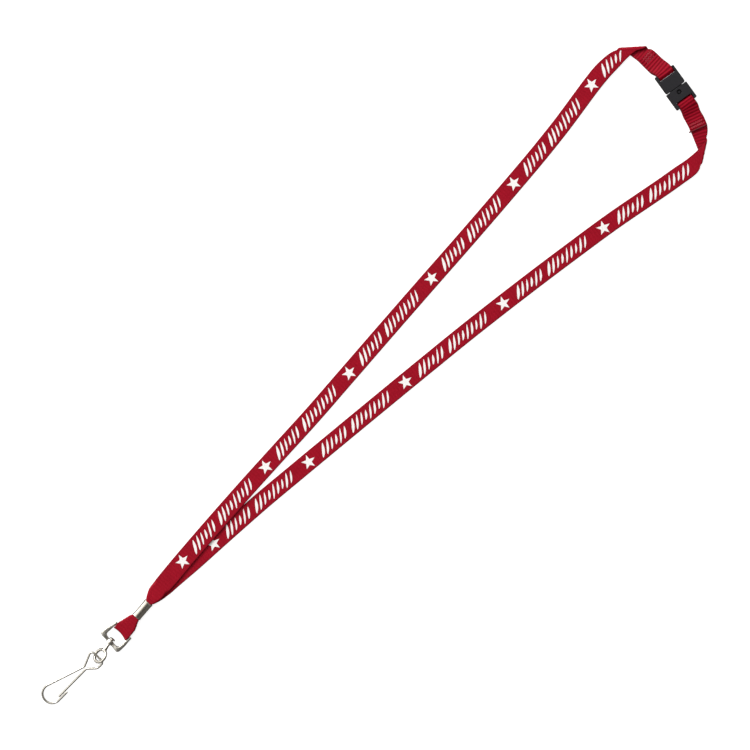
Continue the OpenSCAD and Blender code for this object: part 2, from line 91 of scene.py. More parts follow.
class Graph:
    """The shader nodes of a material or world."""

    def __init__(self, owner):
        self.owner = owner
        owner.use_nodes = True
        self.tree = owner.node_tree
        self.link = self.tree.links.new
        self.shader = self.tree.nodes.get("Principled BSDF")

    def node(self, kind, **values):
        """A node with its properties and unlinked sockets set."""
        made = self.tree.nodes.new("ShaderNode" + kind)
        for key, value in values.items():
            if hasattr(made, key):
                setattr(made, key, value)
            else:
                set_sockets(made, **{key: value})
        return made

    def feed(self, socket, value):
        """Sets a socket to a constant, or links it to another node's output."""
        if isinstance(value, (int, float, tuple)):
            socket.default_value = value
        else:
            self.link(value, socket)

    def math(self, operation, *values, clamp=False):
        made = self.node("Math", operation=operation, use_clamp=clamp)
        for socket, value in zip(made.inputs, values):
            self.feed(socket, value)
        return made.outputs[0]

    def times(self, first, second, clamp=False):
        return self.math("MULTIPLY", first, second, clamp=clamp)

    def scaled(self, value, by, plus, clamp=False):
        return self.math("MULTIPLY_ADD", value, by, plus, clamp=clamp)

    def mix(self, factor, first, second, blend="MIX"):
        made = self.node("Mix", data_type="RGBA", blend_type=blend)
        for place, value in ((0, factor), (6, first), (7, second)):
            self.feed(made.inputs[place], value)
        return made.outputs[2]

    def noise(self, where, scale, detail=2.0, rough=0.5):
        made = self.node("TexNoise", Scale=scale, Detail=detail, Roughness=rough)
        self.link(where, made.inputs["Vector"])
        return made.outputs["Fac"]

    def stretched(self, where, scale):
        made = self.node("Mapping", vector_type="POINT", Scale=scale)
        self.link(where, made.inputs["Vector"])
        return made.outputs[0]

    def bump(self, height, distance, strength, under=None):
        made = self.node("Bump", Distance=distance, Strength=strength)
        self.link(height, made.inputs["Height"])
        if under is not None:
            self.link(under, made.inputs["Normal"])
        return made.outputs[0]

    def dress(self, colour, rough, relief, **constants):
        """Feeds the shader its patterns, and sets what is the same all over the surface."""
        set_sockets(self.shader, **constants)
        for name, pattern in (("Base Color", colour), ("Roughness", rough), ("Normal", relief)):
            self.link(pattern, self.shader.inputs[name])
        return self.owner


def new_material(name):
    return Graph(bpy.data.materials.new(name))


# ---------------------------- camera, floor and light

CAMERA_AT = (0.0096, 0.0082, 1.146)
CAMERA_TURN = -45.6
SOFTBOX = (1.75, 1.72, 1.66, 1)
DIM = (0.06, 0.056, 0.050, 1)
SIDE_GLOW = (0.14, 0.137, 0.13, 1)
END_GLOW = (0.60, 0.59, 0.565, 1)
# The light round the lanyard, by how far over a direction points, from 0 at -Y to 1 at +Y
STUDIO = ((0.0, SIDE_GLOW), (0.30, SIDE_GLOW), (0.42, DIM), (0.53, DIM), (0.66, SOFTBOX), (1.0, SOFTBOX))
END_FROM, END_FULL = 0.45, 0.80  # where the glow at the two X ends takes over from it
BACKDROP = (0.93, 0.93, 0.94, 1)
FLOOR_GLOW = 0.88
FLOOR_SIDE = 8.0
KEY_AT, KEY_SIZE, KEY_POWER, KEY_COLOUR = (0.0, 1.4, 0.78), (0.8, 0.4), 17.0, (1, 0.985, 0.97)


def make_camera():
    data = bpy.data.cameras.new("camera")
    data.lens = 100
    data.sensor_width = 36
    camera = add_object("camera", data)
    camera.location = CAMERA_AT
    camera.rotation_euler = (0, 0, math.radians(CAMERA_TURN))
    bpy.context.scene.camera = camera


def make_key_light():
    data = bpy.data.lights.new("key", "AREA")
    data.shape = "RECTANGLE"
    data.size, data.size_y = KEY_SIZE
    data.energy = KEY_POWER
    data.color = KEY_COLOUR
    light = add_object("key", data)
    light.location = KEY_AT
    light.rotation_euler = (-light.location).to_track_quat("-Z", "Y").to_euler()


def camera_mix(g, seen, otherwise):
    """One look of the studio straight to the camera, and another in reflections and as light."""
    mix = g.node("MixShader")
    g.link(g.node("LightPath").outputs["Is Camera Ray"], mix.inputs[0])
    g.link(otherwise, mix.inputs[1])
    g.link(seen, mix.inputs[2])
    return mix.outputs[0]


def studio_light(g):
    """A wide softbox fills the +Y side up from the horizon, the other side glows a little, the two
    X ends glow more, and it is dim overhead."""
    split = g.node("SeparateXYZ")
    g.link(g.node("TexCoord").outputs["Generated"], split.inputs[0])
    ramp = g.node("ValToRGB")
    stops = ramp.color_ramp.elements
    stops[0].position, stops[0].color = STUDIO[0]
    stops[1].position, stops[1].color = STUDIO[-1]
    for place, colour in STUDIO[1:-1]:
        stops.new(place).color = colour
    g.link(g.scaled(split.outputs["Y"], 0.5, 0.5), ramp.inputs[0])
    ends = g.node("MapRange", interpolation_type="SMOOTHSTEP", From_Min=END_FROM, From_Max=END_FULL)
    g.link(g.math("ABSOLUTE", split.outputs["X"]), ends.inputs["Value"])
    return g.mix(ends.outputs["Result"], ramp.outputs[0], END_GLOW)


def make_world():
    world = bpy.data.worlds.new("studio")
    bpy.context.scene.world = world
    g = Graph(world)
    g.tree.nodes.clear()
    seen = g.node("Background", Color=BACKDROP, Strength=1.0)
    around = g.node("Background", Strength=1.0)
    g.link(studio_light(g), around.inputs["Color"])
    out = g.node("OutputWorld")
    g.link(camera_mix(g, seen.outputs[0], around.outputs[0]), out.inputs[0])


def make_floor():
    mesh = bpy.data.meshes.new("floor")
    low = CAD_BOX[0][2] - 0.0001
    corners = [(x * FLOOR_SIDE, y * FLOOR_SIDE, low) for x, y in ((-1, -1), (1, -1), (1, 1), (-1, 1))]
    mesh.from_pydata(corners, [], [(0, 1, 2, 3)])
    g = new_material("floor_paper")
    set_sockets(g.shader, Base_Color=(0.42, 0.42, 0.42, 1), Roughness=0.9, Specular_IOR_Level=0.1,
                Emission_Color=(1, 1, 1, 1), Emission_Strength=FLOOR_GLOW)
    grey = g.node("BsdfDiffuse", Color=(0.16, 0.155, 0.15, 1))
    seen = camera_mix(g, g.shader.outputs[0], grey.outputs[0])
    g.link(seen, g.tree.nodes["Material Output"].inputs["Surface"])
    mesh.materials.append(g.owner)
    add_object("floor", mesh)


make_camera()
make_world()
make_floor()
make_key_light()
bpy.context.scene.view_settings.view_transform = "Standard"

# ---------------------------- strap route, as in the CAD

STRAP_W = 10.0
STRAP_T = 0.8
FLOOR_Z = STRAP_T / 2
UPPER_Z = FLOOR_Z + STRAP_T + 0.12
CRIMP_AT = (-5.2, 0.3)
CRIMP_LOW_Z, CRIMP_HIGH_Z = 1.35, 2.85
CRIMP_YAW = 4.0
FOLD_R = 0.5
FOLDED_Z = FLOOR_Z + 2 * FOLD_R
PROUD_R = 0.75  # the left fold is not pressed as flat as the right one
PROUD_Z = FLOOR_Z + 2 * PROUD_R
BUCKLE_POS = np.array([404.25, -8.6, 0.0])
BUCKLE_YAW = -9.8
SLOT_MID_Z = 2.0
WRAP_R = 1.25
WRAP_W = 9.4
PLUG_WRAP_Y = 9.6
SOCKET_WRAP_Y = 8.65


def level(z, *places):
    """Places of the strap's middle at one height, where it has its full width."""
    return [(x, y, z, STRAP_W) for x, y in places]


# Middle of the strap as (x, y, z, width)
LEFT_ROUTE = [
    (0, 0.66, CRIMP_HIGH_Z, 3.8), (0.9, 0.72, 2.85, 5.0), (3.2, 0.95, 2.75, 7.0),
    (6.6, 1.5, 2.3, 9.0), (11, 1.8, 1.75, 9.7), (17, 2.25, 1.4, 10),
    *level(UPPER_Z, (33, 3.5), (50, 4.6), (66, 5.5), (84, 6.4)), (99, 7, 1.05, 10), (115, 7.6, 0.65, 10),
    *level(FLOOR_Z, (132, 8.2), (165, 10.1), (198, 12.1), (231, 14), (264, 15.8), (297, 17.9),
           (330, 20.4), (347, 22.2)),
    (363, 24.4, 0.5, 10), (374, 25.9, 0.8, 10), (383, 26.7, 1.3, 10)]
RIGHT_ROUTE = [
    (0, 0.66, CRIMP_LOW_Z, 3.8), (0.9, 0.66, 1.25, 4.9), (3.2, 0.5, 0.95, 6.4),
    (6.6, 0.6, 0.65, 8.4), (11, 0.5, 0.45, 9.7),
    *level(FLOOR_Z, (17, 0.2), (33, -1.2), (50, -2.3), (66, -3.4), (83, -4.7), (107, -7.1),
           (132, -9.7), (165, -13.2), (198, -16.8), (231, -20.6), (264, -25), (297, -29.9), (330, -35.3))]
# Under half of the loop round the bracket's bar, from inside the crimp, as (x, y, z, width, yaw)
LOOP_UNDER = [
    (*CRIMP_AT, CRIMP_LOW_Z, 3.6, 4), (-10.3, -0.06, CRIMP_LOW_Z, 3.8, 4), (-11.1, 0.1, 1.25, 5.0, 3),
    (-12.6, 0.1, 1.0, 6.2, 0), (-14.6, -0.15, 0.75, 7.6, -1), (-17, -0.25, 0.55, 9.1, -1),
    (-19.2, -0.1, 0.44, 9.9, -3)]
LOOP_OVER_Z = (3.38, 3.25, 3.08, 2.95, 2.9, CRIMP_HIGH_Z)  # the same places, back over the top
BAR_POS = (-21.3, -0.05, 1.9)
BRACKET_YAW = -4.0
LOOP_R = 1.4
LOOP_W = 9.75  # width of the strap round the bar


def unit(v):
    return v / np.maximum(np.linalg.norm(v, axis=-1, keepdims=True), 1e-12)


def all_round(steps):
    """Angles all the way round."""
    return np.arange(steps) * 2 * math.pi / steps


def station(x, y, z, width, yaw):
    """Left and right edge of the strap, square to the heading yaw in degrees."""
    side = width / 2 * np.array([-math.sin(math.radians(yaw)), math.cos(math.radians(yaw)), 0])
    middle = np.array([x, y, z])
    return middle + side, middle - side


def edges(left, right, z):
    return np.array([*left, z]), np.array([*right, z])


def about(axis, angle):
    """A turn in degrees about the x, y or z axis."""
    c, s = math.cos(math.radians(angle)), math.sin(math.radians(angle))
    a, b = ("xyz".index(axis) + 1) % 3, ("xyz".index(axis) + 2) % 3
    turn = np.eye(3)
    turn[a, a] = turn[b, b] = c
    turn[a, b], turn[b, a] = -s, s
    return turn


def on_buckle(x, y, z):
    return BUCKLE_POS + about("z", BUCKLE_YAW) @ [x, y, z]


def buckle_station(x, y, z, width, side=1):
    return on_buckle(x - side * width / 2, y, z), on_buckle(x + side * width / 2, y, z)


def route_stations(route, crimp_z):
    """Stations along a leg, from inside the crimp."""
    route = [(*CRIMP_AT, crimp_z, 3.6)] + route
    made = []
    for i, (x, y, z, width) in enumerate(route):
        before, after = route[max(i - 1, 0)], route[min(i + 1, len(route) - 1)]
        yaw = math.degrees(math.atan2(after[1] - before[1], after[0] - before[0]))
        made.append(station(x, y, z, width, yaw))
    return made


def fold_stations(first, last, radius, steps=6):
    """A half turn down to the floor from one slanting line to another, each given by its left and
    right end."""
    (left, right), (left_end, right_end) = ((np.array([*p, 0.0]) for p in line) for line in (first, last))
    along = unit(right + right_end - left - left_end)
    out = np.array([-along[1], along[0], 0])
    made = []
    for k in range(steps + 1):
        turn = math.pi * k / steps
        move = out * radius * math.sin(turn) + np.array([0, 0, FLOOR_Z + radius * (1 + math.cos(turn))])
        made.append((left + (left_end - left) * k / steps + move,
                     right + (right_end - right) * k / steps + move))
    return made


def loop_stations():
    under = [station(x, y, z, w, yaw) for x, y, z, w, yaw in LOOP_UNDER]
    wrap = []
    for k in range(7):
        turn = math.radians(270 - 30 * k)
        wrap.append(station(BAR_POS[0] + LOOP_R * math.cos(turn), BAR_POS[1],
                            BAR_POS[2] + LOOP_R * math.sin(turn), LOOP_W, BRACKET_YAW))
    over = [station(x, y, z, w, yaw) for (x, y, _, w, yaw), z in zip(LOOP_UNDER[:0:-1], LOOP_OVER_Z)]
    return under + wrap + over


def slot_wrap(y, sign, side):
    """Half a turn round a buckle's slot bar: sign 1 starts above it, and -1 below it."""
    turns = [math.radians(angle) for angle in range(0, 181, 30)]
    return [buckle_station(0, y - side * WRAP_R * math.sin(turn),
                           SLOT_MID_Z + sign * WRAP_R * math.cos(turn), WRAP_W, side) for turn in turns]


LEFT_CORNER = [edges((390, 31.3), (391.2, 21.9), 1.6), edges((393.6, 30.6), (398.6, 22), PROUD_Z),
               edges((395.7, 29.85), (404, 21.3), PROUD_Z)]
LEFT_FOLD = fold_stations(((396.9, 29.4), (408.7, 19.0)), ((398.7, 27.8), (409.4, 17.6)), PROUD_R)
LEFT_NECK = [
    edges((399.5, 25.6), (410.1, 16.6), FLOOR_Z),
    edges((400, 21.4), (410.5, 15.7), 0.8), edges((400.4, 17.6), (410.7, 14.2), UPPER_Z),
    edges((400.6, 12.2), (410.8, 11.2), UPPER_Z), edges((400.7, 8.2), (410.8, 7.6), 1.8),
    buckle_station(-0.4, 13.6, 2.7, 9.9), buckle_station(0, 11.4, 3.2, 9.6)]
LEFT_TAIL = slot_wrap(PLUG_WRAP_Y, 1, 1) + [
    buckle_station(0, 11.4, 0.72, 9.6), edges((400.7, 6.4), (410.8, 5.4), 0.5),
    edges((400.6, 10), (410.8, 9.4), FLOOR_Z), edges((400.7, 16.6), (410.9, 14), FLOOR_Z)]

RIGHT_CORNER = [
    station(352.3, -39.76, FLOOR_Z, 10, -11.3), station(363, -41.9, 0.5, 10, -10.8),
    station(371.5, -43.4, 0.9, 10, -10.4), edges((381.6, -40.3), (377.4, -49.4), 1.3),
    edges((387.9, -40.9), (379.9, -49.4), FOLDED_Z), edges((391.8, -40.95), (382.0, -48.9), FOLDED_Z)]
RIGHT_FOLD = fold_stations(((394.9, -40.7), (383.8, -47.9)), ((397.0, -39.6), (386.3, -46.0)), FOLD_R)
RIGHT_NECK = [
    edges((398.7, -38.6), (387.6, -43.8), FLOOR_Z), edges((400.3, -37.3), (388.9, -41.0), FLOOR_Z),
    edges((401.9, -35.5), (390.6, -37.2), FLOOR_Z), edges((402.9, -33.6), (392.8, -32.2), FLOOR_Z),
    edges((404.4, -29.4), (394.7, -27), FLOOR_Z), edges((405.9, -24.6), (396, -22.6), 0.5),
    buckle_station(0, -11.6, 0.7, 9.7, -1)]
RIGHT_TAIL = slot_wrap(-SOCKET_WRAP_Y, -1, -1) + [
    buckle_station(0, -11.4, 3.1, 9.6, -1), buckle_station(-0.1, -13.8, 2.3, 9.9, -1),
    edges((405.2, -26.4), (395.5, -24), UPPER_Z + 0.1), edges((404, -30.6), (394.3, -28), UPPER_Z),
    edges((402.2, -34.9), (392.8, -31.2), UPPER_Z)]

# ---------------------------- the strap as a swept ribbon

HALF_W = STRAP_W / 2
RING_STEP = 0.25  # distance from one ring of the mesh to the next
LINE_STEP = 0.02  # and between the places that measure the strap's length
LEAST_SKEW = 0.6  # a ring slants only where its two ends are further apart along it
RIB_PITCH = 1.75  # from one cross rib to the next
RIB_PRESSED = 0.055  # how far a rib stands out of its grooves where the print was pressed on
RIB_FULL = 0.20  # and beyond the folds, where it was not
CREST_T = 0.84  # thickness of the webbing on its ribs
GATHER_X = (-20.6, 15.5)  # where the crimp gathers the strap
FLAP_R = 0.40  # how tightly its edges turn under there
MOST_BEND = math.radians(172)
FLAT_HALF = (3.3, 4.7)  # least and most half width left flat between the edges
EASE_RINGS = 4  # rings over which changes in the gathers are evened out
LOOP_SAG = 0.85  # how far the loop's middle lags behind its edges at the bar
SELVEDGE_FROM = 4.72  # where the webbing starts to thin towards its edge


def hermite(knots, values, at):
    """A smooth curve through values at uneven knots."""
    values = np.asarray(values, float)
    slope = np.gradient(values, knots, axis=0)
    i = np.clip(np.searchsorted(knots, at, side="right") - 1, 0, len(knots) - 2)
    span = knots[i + 1] - knots[i]
    k = (at - knots[i]) / span
    shape = (slice(None),) + (None,) * (values.ndim - 1)
    k, span = k[shape], span[shape]
    return ((2 * k**3 - 3 * k**2 + 1) * values[i] + (k**3 - 2 * k**2 + k) * span * slope[i]
            + (3 * k**2 - 2 * k**3) * values[i + 1] + (k**3 - k**2) * span * slope[i + 1])


def smooth(k):
    k = np.clip(k, 0, 1)
    return k * k * (3 - 2 * k)


def eased(values):
    """Values evened out over the rings on both sides, twice."""
    window = 2 * EASE_RINGS + 1
    values = np.pad(values, window - 1, mode="edge")
    for _ in range(2):
        values = np.convolve(values, np.full(window, 1 / window), "valid")
    return values


def length_along(points):
    return np.concatenate([[0], np.cumsum(np.linalg.norm(np.diff(points, axis=0), axis=1))])


class Strap:
    """A strap along stations. inner says to which side its edges fold where it is gathered: -1 for
    under the face that the route calls up, and 1 for over it. held is the run of fold stations."""

    def __init__(self, stations, inner, held):
        left, right = (np.array([s[k] for s in stations]) for k in (0, 1))
        middle = (left + right) / 2
        knots = length_along(middle)
        fine = np.linspace(0, knots[-1], int(knots[-1] / LINE_STEP))
        run = length_along(hermite(knots, middle, fine))
        self.length = run[-1]
        self.run = np.linspace(0, run[-1], int(round(run[-1] / RING_STEP)) + 1)
        at = np.interp(self.run, run, fine)
        self.middle = hermite(knots, middle, at)
        span = hermite(knots, left, at) - hermite(knots, right, at)
        self.skew = hermite(knots, self.slant(left, right, held), at)
        self.up = unit(np.cross(unit(np.gradient(self.middle, axis=0)), span))
        self.side = unit(span)
        self.half = np.linalg.norm(span, axis=1) / 2
        self.inner = inner
        pressed = smooth((self.run - knots[held[0]]) / 3)
        self.rib = RIB_PRESSED + (RIB_FULL - RIB_PRESSED) * pressed
        self.set_gather()

    @staticmethod
    def slant(left, right, held):
        """How far the left end of each station is ahead of its right end."""
        way = unit(np.gradient((left + right) / 2, axis=0) * [1, 1, 0])
        skew = ((left - right) * way).sum(1)
        a, b = held
        skew[a:b] = np.linspace(skew[a - 1], skew[b], b - a)
        skew[np.abs(skew) < LEAST_SKEW] = 0
        return skew

    def set_gather(self):
        """Where the crimp narrows the strap, its edges turn to the inner side and lie back flat."""
        x = self.middle[:, 0]
        near = smooth((x - GATHER_X[0]) / 2) * smooth((GATHER_X[1] - x) / 2)
        squeeze = np.clip(HALF_W - 0.1 - self.half, 0, None) * near
        bend = np.minimum(2.6 * squeeze**0.7, MOST_BEND)
        lean = np.cos(bend)
        room = self.half - FLAP_R * np.sin(bend) - lean * (HALF_W - FLAP_R * bend)
        turning = np.clip(room / np.maximum(1 - lean, 1e-3), *FLAT_HALF)
        flat_half = np.where(bend < math.pi / 2, turning, self.half - FLAP_R)
        flat_half = np.where(bend < 0.08, FLAT_HALF[1], flat_half)
        self.bend, self.flat_half = eased(bend), eased(flat_half)
        self.room = self.half - 0.33 * np.sin(np.minimum(self.bend, math.pi / 2))
        self.thin = 1 - 0.25 * smooth((4.2 - self.half) / 2) * near
        self.sag = LOOP_SAG * smooth((GATHER_X[0] - x) / 1.4)

    def across(self, ring, v):
        """Place in the section (across, towards the outer side) and lean of the webbing there."""
        m, bend = self.flat_half[ring], self.bend[ring]
        a = np.abs(v)
        turned = np.clip((a - m) / FLAP_R, 0, bend)
        flap = np.clip(a - m - FLAP_R * bend, 0, None)
        room = np.maximum(HALF_W - m - FLAP_R * bend, 1e-6)
        most = np.where(bend > math.pi / 2, (m - 0.15) / np.maximum(-np.cos(bend), 0.1), 9.0)
        flap = flap * np.minimum(1, np.maximum(most, 0.1) / room)
        y = np.minimum(a, m) + FLAP_R * np.sin(turned) + flap * np.cos(bend)
        z = FLAP_R * (1 - np.cos(bend)) / 2 - FLAP_R * (1 - np.cos(turned)) - flap * np.sin(bend)
        return np.sign(v) * y, z, turned * np.sign(v)

    def widest(self, ring):
        m, bend = self.flat_half[ring], self.bend[ring]
        y_end = m + FLAP_R * np.sin(bend) + (HALF_W - m - FLAP_R * bend) * np.cos(bend)
        return np.where(bend < math.pi / 2, y_end, m + FLAP_R)

    def along(self, ring, v):
        """Length along the flat strap at a place v across it."""
        return self.run[ring] + self.skew[ring] * v / STRAP_W

    def surface(self, ring, v, side, lift=0.0):
        """Points on the strap, side 1 for the face called up and -1 for the other; lift is above it."""
        y, z, lean = self.across(ring, v)
        y = y * self.room[ring] / self.widest(ring)
        turn = -self.inner
        base = self.middle[ring] + self.side[ring] * y[:, None] + self.up[ring] * (turn * z)[:, None]
        base[:, 0] += self.sag[ring] * (0.25 - (v / HALF_W)**2)
        normal = self.side[ring] * np.sin(lean)[:, None] + self.up[ring] * (turn * np.cos(lean))[:, None]
        t = self.thickness(ring, v) / 2 + lift
        return base + normal * (side * turn * t)[:, None]

    def thickness(self, ring, v):
        u = self.along(ring, v)
        rib = 0.5 - 0.5 * np.cos(2 * math.pi * u / RIB_PITCH)
        uneven = 1 + 0.18 * np.sin(u * 0.83) * np.sin(u * 0.31 + 1)
        near_edge = smooth((HALF_W - np.abs(v)) / 0.5)
        stands = 2 * self.rib[ring] * (1 - rib * (0.35 + 0.65 * near_edge))
        body = CREST_T - stands * uneven
        rim = np.clip((np.abs(v) - SELVEDGE_FROM) / (HALF_W - SELVEDGE_FROM), 0, 1)
        return body * self.thin[ring] * np.sqrt(np.maximum(1 - 0.9 * rim**2, 0.05))

    def rows(self):
        """Places across the strap at each ring, denser where it bends."""
        one = np.minimum(self.flat_half, 4.55)
        two = np.clip(self.flat_half + FLAP_R * self.bend, one + 0.1, 4.85)
        cuts = [one * k / 5 for k in range(6)]
        cuts += [one + (two - one) * k / 4 for k in range(1, 5)]
        cuts += [two + (HALF_W - two) * k for k in (0.55, 0.88, 1.0)]
        half = np.stack(cuts, axis=1)
        return np.concatenate([-half[:, :0:-1], half], axis=1)

    def path(self):
        return metres(self.middle).tolist()


def shade_smooth(mesh):
    mesh.polygons.foreach_set("use_smooth", [True] * len(mesh.polygons))


def new_object(name, points, faces):
    mesh = bpy.data.meshes.new(name)
    mesh.from_pydata([tuple(p) for p in points], [], faces)
    mesh.update()
    shade_smooth(mesh)
    mesh.set_sharp_from_angle(angle=math.radians(50))
    return add_object(name, mesh)


def set_flat_place(piece, flat):
    """Keeps each point's place on the flat strap, in metres, for the weave of its material. The third
    number tells the two faces apart, and grows with the depth of the ribs."""
    kept = piece.data.attributes.new("flat_place", "FLOAT_VECTOR", "POINT")
    kept.data.foreach_set("vector", np.asarray(flat, np.float32).ravel())


def slab_faces(grid, low, closed=False):
    """Faces of a slab between grids of upper and lower points. closed makes a disc of it: its last
    row joins its first, and its middle is capped."""
    if closed:
        grid, low = (np.vstack([g, g[:1]]) for g in (grid, low))
    bands = [(grid[:-1, :-1], grid[1:, :-1], grid[1:, 1:], grid[:-1, 1:]),
             (low[:-1, :-1], low[:-1, 1:], low[1:, 1:], low[1:, :-1]),
             (grid[:-1, -1], grid[1:, -1], low[1:, -1], low[:-1, -1])]
    if not closed:
        bands += [(grid[:-1, 0], low[:-1, 0], low[1:, 0], grid[1:, 0]),
                  (grid[0, :-1], grid[0, 1:], low[0, 1:], low[0, :-1]),
                  (grid[-1, :-1], low[-1, :-1], low[-1, 1:], grid[-1, 1:])]
    faces = [quad for band in bands for quad in np.stack([c.ravel() for c in band], axis=1).tolist()]
    return faces + ([grid[-2::-1, 0].tolist(), low[:-1, 0].tolist()] if closed else [])


def ribbon(name, strap):
    v = strap.rows()
    rings, width = v.shape
    ring = np.repeat(np.arange(rings), width)
    flat_v = v.ravel()
    points = np.concatenate([strap.surface(ring, flat_v, side) for side in (1, -1)])
    grid = np.arange(rings * width).reshape(rings, width)
    piece = new_object(name, metres(points), slab_faces(grid, grid + rings * width))
    u = strap.along(ring, flat_v)
    deep = (strap.rib[ring] - RIB_PRESSED) / (RIB_FULL - RIB_PRESSED)
    flat = [np.stack([u, flat_v, side * (2 + deep)], axis=1) for side in (1, -1)]
    set_flat_place(piece, np.concatenate(flat) * MM)
    return piece


def build_straps():
    loop = loop_stations()
    leg = route_stations(LEFT_ROUTE, CRIMP_HIGH_Z)[1:]
    before_fold = len(loop) + len(leg) + len(LEFT_CORNER)
    left = Strap(loop + leg + LEFT_CORNER + LEFT_FOLD + LEFT_NECK + LEFT_TAIL, -1,
                 (before_fold, before_fold + len(LEFT_FOLD)))
    leg = route_stations(RIGHT_ROUTE, CRIMP_LOW_Z)
    before_fold = len(leg) + len(RIGHT_CORNER)
    right = Strap(leg + RIGHT_CORNER + RIGHT_FOLD + RIGHT_NECK + RIGHT_TAIL, 1,
                  (before_fold, before_fold + len(RIGHT_FOLD)))
    return left, right


LEFT, RIGHT = build_straps()
LEFT_NODES = ("strap_hook_loop", "strap_leg_left", "strap_neck_left", "strap_tail_left")
RIGHT_NODES = ("strap_leg_right", "strap_corner_right", "strap_neck_right", "strap_tail_right")

# ---------------------------- materials

# The webbing's reds: the crest red is its own colour, the groove and deep reds are painted shade for the
# ribs' grooves, and the high red is a painted highlight on the crests of deep ribs
RED_CREST = (0.340, 0.0034, 0.0170, 1)
RED_GROOVE_SHADE = (0.285, 0.0022, 0.0120, 1)
RED_DEEP_GROOVE_SHADE = (0.200, 0.0003, 0.0060, 1)
RED_CREST_HIGHLIGHT = (0.380, 0.0030, 0.0210, 1)
# painted shade: the darker red along both edges of the webbing
RED_EDGE_SHADE = (0.145, 0.0010, 0.0070, 1)
RED_WORN = (0.42, 0.020, 0.045, 1)
YARN = 0.42 * MM


def object_place(g):
    return g.node("TexCoord").outputs["Object"]


def flat_place(g):
    """The place on the flat strap, and its separate numbers."""
    place = g.node("Attribute", attribute_name="flat_place").outputs["Vector"]
    split = g.node("SeparateXYZ")
    g.link(place, split.inputs[0])
    return place, *split.outputs


def weave_height(g, u, v):
    """Warp yarns side by side, each passing over and under the weft, as a height from 0 to 1, with
    its two patterns: along the strap and across it."""
    arch, row = (g.math("ABSOLUTE", g.math("SINE", g.times(way, rate)))
                 for way, rate in ((u, math.pi / (RIB_PITCH * MM)), (v, math.pi / YARN)))
    rise = g.math("ADD", g.times(arch, 0.5), 0.5)
    return g.times(g.math("POWER", row, 0.6), rise), arch, row


def webbing_colour_and_rib_shade(g, where, arch, row, depth, fine):
    """Painted shade and highlight on the ribs: bright on their crests, painted dark in their grooves, and
    more so where they are deep, with a painted highlight on deep crests.
    """
    deep = g.scaled(g.math("ABSOLUTE", depth), 1 / MM, -2.0, clamp=True)
    lit_crest_mask = g.math("POWER", arch, g.scaled(deep, 1.3, 0.45), clamp=True)
    lit_crest_mask = g.times(lit_crest_mask, g.scaled(row, 0.35, 0.65), clamp=True)
    groove_shade = g.mix(deep, RED_GROOVE_SHADE, RED_DEEP_GROOVE_SHADE)
    colour = g.mix(lit_crest_mask, groove_shade, g.mix(deep, RED_CREST, RED_CREST_HIGHLIGHT))
    tint = g.scaled(g.noise(where, 180, 3), 0.30, g.scaled(fine, 0.34, 0.68))
    return g.mix(1.0, colour, tint, "MULTIPLY")


def webbing_material():
    g = new_material("woven_polyester")
    where, u, v, depth = flat_place(g)
    height, arch, row = weave_height(g, u, v)
    fine = g.noise(where, 5200, 3, 0.65)
    fibre = g.noise(g.stretched(where, (900, 9000, 1)), 1.0)
    edge = g.times(g.math("ABSOLUTE", v), 1 / (HALF_W * MM))
    fuzz = g.times(g.math("POWER", edge, 26.0, clamp=True), g.scaled(fibre, 0.7, -0.1), clamp=True)
    # painted shade, darkening the red towards both edges of the webbing
    painted_edge_shade = g.times(g.math("POWER", edge, 11.0, clamp=True), 0.75)
    body = g.mix(painted_edge_shade, webbing_colour_and_rib_shade(g, where, arch, row, depth, fine), RED_EDGE_SHADE)
    relief = g.bump(fibre, 0.025 * MM, 0.6, g.bump(height, 0.05 * MM, 0.8))
    return g.dress(g.mix(fuzz, body, RED_WORN), g.scaled(fine, 0.25, 0.42), relief,
                   Specular_IOR_Level=0.09,
                   Sheen_Weight=0.02, Sheen_Roughness=0.45, Sheen_Tint=(1.0, 0.25, 0.32, 1))


def ink_material():
    """White ink, with a little of the red showing where its grain is thin."""
    g = new_material("white_ink")
    where, u, v, _ = flat_place(g)
    grain = g.noise(where, 4200, 4, 0.7)
    thin = g.scaled(grain, 1.5, -0.95, clamp=True)
    relief = g.bump(weave_height(g, u, v)[0], 0.03 * MM, 0.6)
    relief = g.bump(grain, 0.02 * MM, 0.5, relief)
    return g.dress(g.mix(thin, (0.95, 0.935, 0.94, 1), (0.90, 0.66, 0.70, 1)),
                   g.scaled(grain, 0.3, 0.38), relief, Specular_IOR_Level=0.4)


def thread_material():
    g = new_material("sewing_thread")
    where = object_place(g)
    grain = g.noise(where, 9000, 3)
    twist = g.node("TexWave", wave_type="BANDS", bands_direction="DIAGONAL", Scale=1900.0, Distortion=1.0)
    g.link(where, twist.inputs["Vector"])
    return g.dress(g.mix(grain, (0.26, 0.004, 0.016, 1), (0.46, 0.012, 0.040, 1)),
                   g.scaled(grain, 0.2, 0.35), g.bump(twist.outputs["Fac"], 0.03 * MM, 0.7),
                   Sheen_Weight=0.15)


def nickel_material(name, light, dark, roughness, grain_depth):
    """Nickel plating: warm grey, a little cloudy, with fine polishing scratches."""
    g = new_material(name)
    where = object_place(g)
    cloud = g.noise(where, 420, 4, 0.6)
    speck = g.noise(where, 7000, 2)
    scratch = g.noise(g.stretched(where, (600, 9000, 9000)), 1.0, 3, 0.6)
    worn = g.scaled(scratch, 0.16, roughness - 0.08)
    relief = g.bump(scratch, grain_depth * MM, 0.5)
    relief = g.bump(speck, grain_depth * 0.6 * MM, 0.4, relief)
    return g.dress(g.mix(cloud, dark, light), g.scaled(cloud, 0.12, worn), relief, Metallic=1.0)


